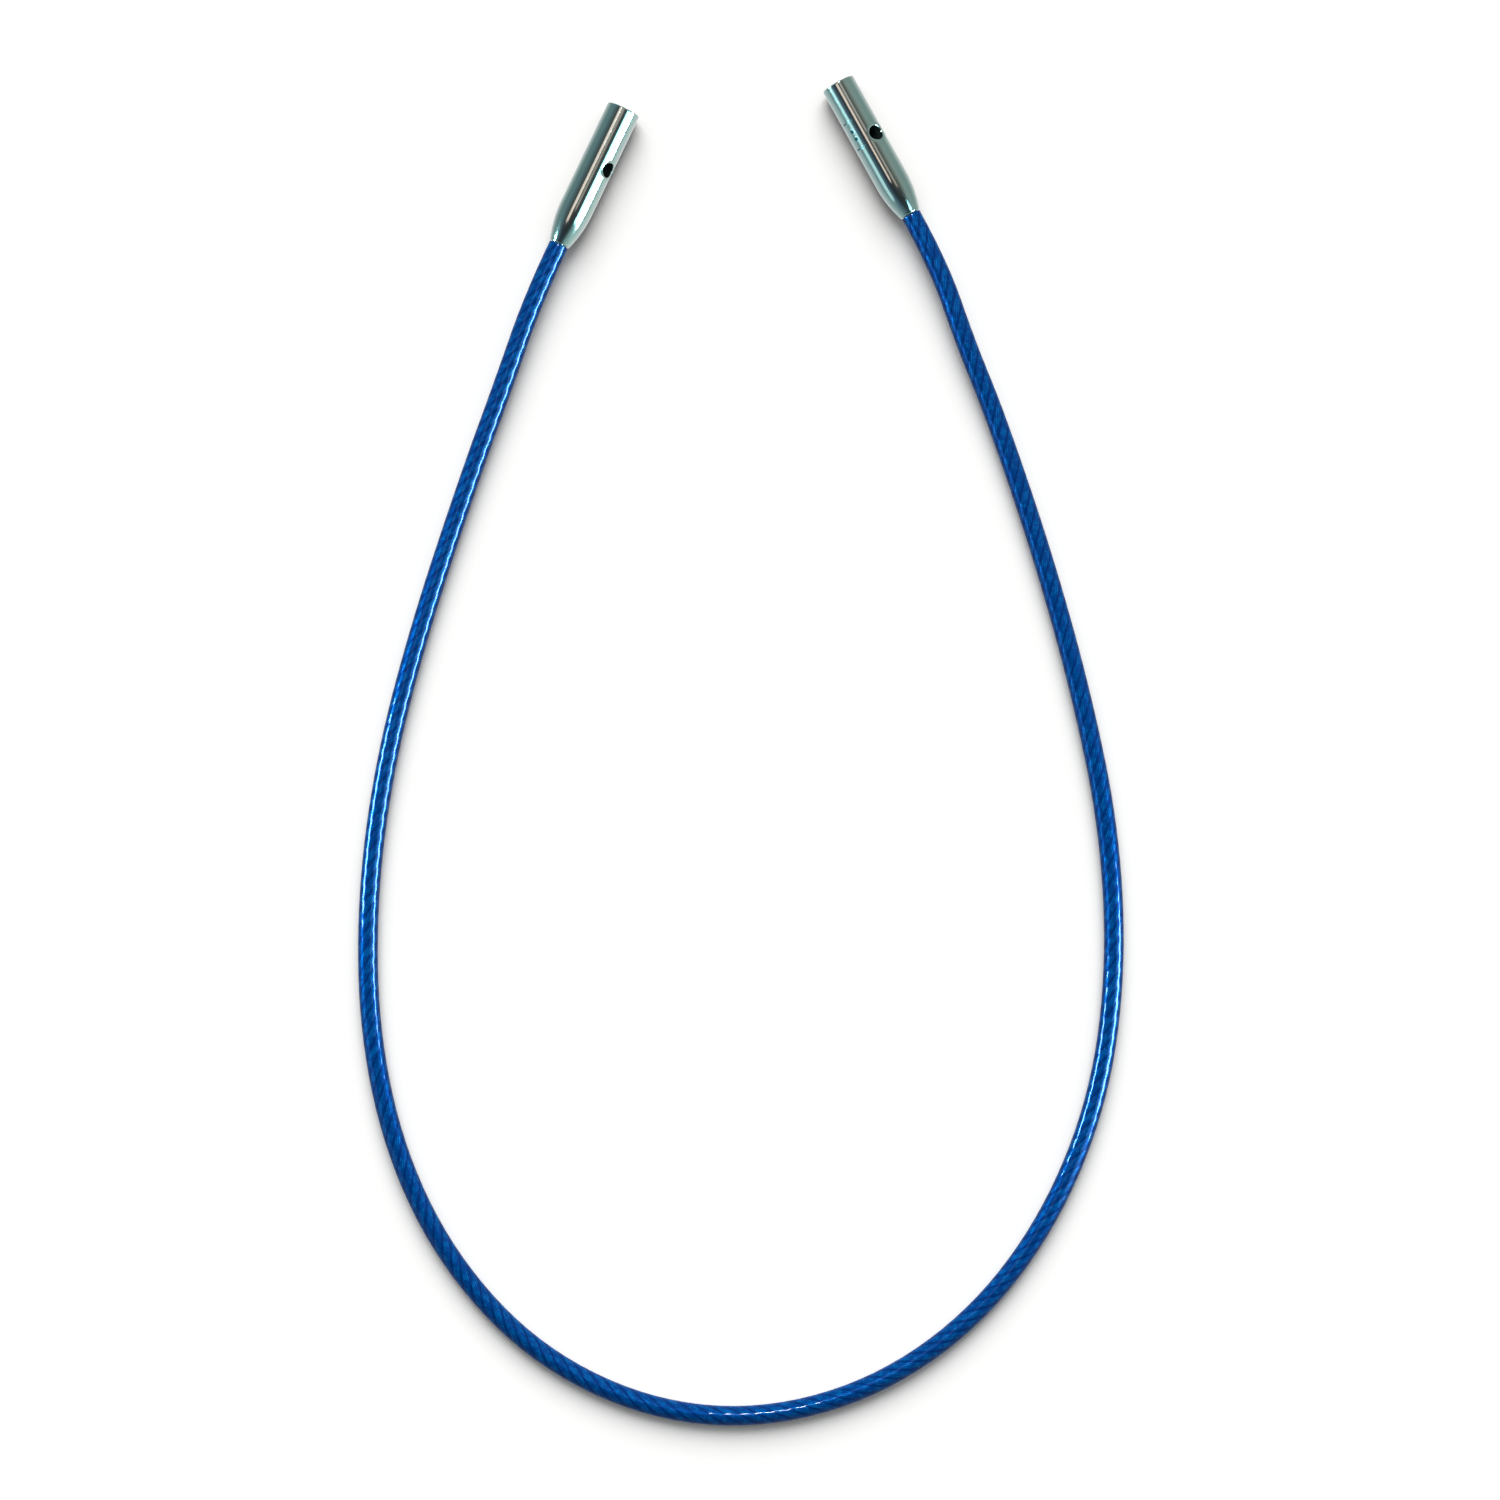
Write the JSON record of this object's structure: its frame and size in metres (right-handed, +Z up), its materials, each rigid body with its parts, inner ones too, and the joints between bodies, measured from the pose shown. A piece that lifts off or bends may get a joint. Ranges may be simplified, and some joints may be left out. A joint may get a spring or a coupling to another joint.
{
  "type": "interchangeable circular knitting needle cable",
  "caption": "Short coated steel cable of a circular knitting needle, laid in an open loop, with a swivelling screw connector at each end.",
  "frame": {"origin": "on the table, midway between the two connectors", "axes": "+Z up from the table; +Y from the loop towards the connectors' mouths; +X from the left connector to the right one"},
  "size_m": [0.054, 0.0951, 0.0024],
  "materials": {
    "polished_steel": "mirror-polished turned stainless steel",
    "swaged_steel": "dull swaged stainless steel",
    "stranded_steel": "bright drawn wire, twisted",
    "blue_nylon": "glossy tinted clear nylon"
  },
  "bodies": {
    "cable": {"cable_jacket": "blue_nylon", "cable_core": "stranded_steel", "left_end_stop": "swaged_steel", "right_end_stop": "swaged_steel"},
    "left_connector": {"left_connector": "polished_steel"},
    "right_connector": {"right_connector": "polished_steel"}
  },
  "joints": [
    {"name": "left_swivel", "type": "hinge", "parent": "cable", "child": "left_connector", "pos_m": [-0.01233, -0.0057, 0.0012], "axis": [0.4321, 0.9018, 0], "continuous": true},
    {"name": "right_swivel", "type": "hinge", "parent": "cable", "child": "right_connector", "pos_m": [0.01238, -0.00361, 0.0012], "axis": [-0.4865, 0.8737, 0], "continuous": true}
  ]
}
